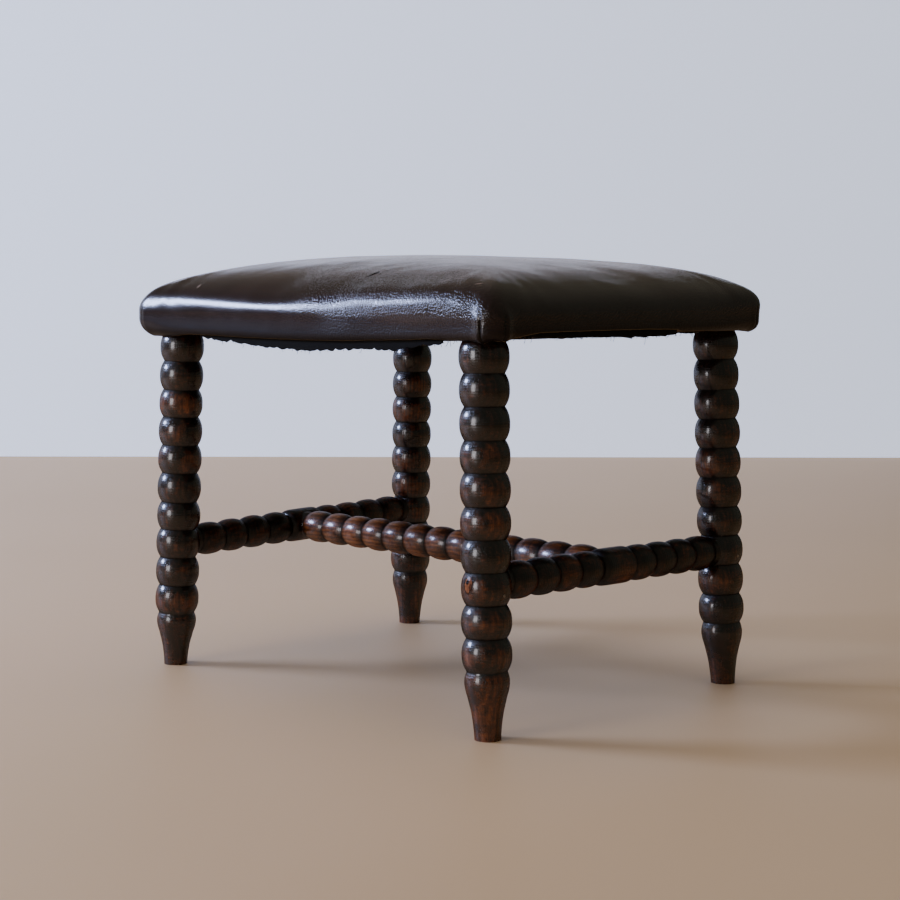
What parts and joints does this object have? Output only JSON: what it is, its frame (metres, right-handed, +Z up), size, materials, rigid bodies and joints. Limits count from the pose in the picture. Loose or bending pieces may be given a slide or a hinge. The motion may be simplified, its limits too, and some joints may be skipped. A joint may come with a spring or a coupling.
{
  "type": "upholstered footstool",
  "caption": "Low rectangular footstool: a crowned leather seat on splayed bobbin-turned legs joined by beaded stretchers in an H.",
  "frame": {"origin": "on the floor, under the middle of the seat", "axes": "+Z up, +X along the long side of the seat, front long side towards -Y"},
  "size_m": [0.409, 0.307, 0.3361],
  "materials": {
    "turned_wood": "dark stained and waxed hardwood, worn to orange brown on the high spots",
    "frame_wood": "plain sawn softwood",
    "leather": "dark brown pebbled leather with a worn gloss",
    "bottom_cloth": "matt black cotton",
    "webbing": "woven jute webbing",
    "hessian": "open jute weave",
    "stuffing": "matted fibre wadding",
    "steel": "dull blued steel"
  },
  "bodies": {
    "root": {"leg_front_left": "turned_wood", "leg_front_right": "turned_wood", "leg_back_left": "turned_wood", "leg_back_right": "turned_wood", "side_stretcher_left": "turned_wood", "side_stretcher_right": "turned_wood", "cross_stretcher": "turned_wood", "rail_front": "frame_wood", "rail_back": "frame_wood", "rail_left": "frame_wood", "rail_right": "frame_wood", "leather_cover": "leather", "bottom_cloth": "bottom_cloth", "webbing_long_front": "webbing", "webbing_long_back": "webbing", "webbing_cross_left": "webbing", "webbing_cross_middle": "webbing", "webbing_cross_right": "webbing", "hessian_sheet": "hessian", "stuffing_pad": "stuffing", "stretcher_pin_front_left": "steel", "stretcher_pin_front_right": "steel", "stretcher_pin_back_left": "steel", "stretcher_pin_back_right": "steel", "bottom_tack_1": "steel", "bottom_tack_2": "steel", "bottom_tack_3": "steel", "bottom_tack_4": "steel", "bottom_tack_5": "steel", "bottom_tack_6": "steel", "bottom_tack_7": "steel", "bottom_tack_8": "steel", "bottom_tack_9": "steel", "bottom_tack_10": "steel", "bottom_tack_11": "steel", "bottom_tack_12": "steel", "bottom_tack_13": "steel", "bottom_tack_14": "steel", "bottom_tack_15": "steel", "bottom_tack_16": "steel", "webbing_tack_1": "steel", "webbing_tack_2": "steel", "webbing_tack_3": "steel", "webbing_tack_4": "steel", "webbing_tack_5": "steel", "webbing_tack_6": "steel", "webbing_tack_7": "steel", "webbing_tack_8": "steel", "webbing_tack_9": "steel", "webbing_tack_10": "steel"}
  },
  "joints": []
}
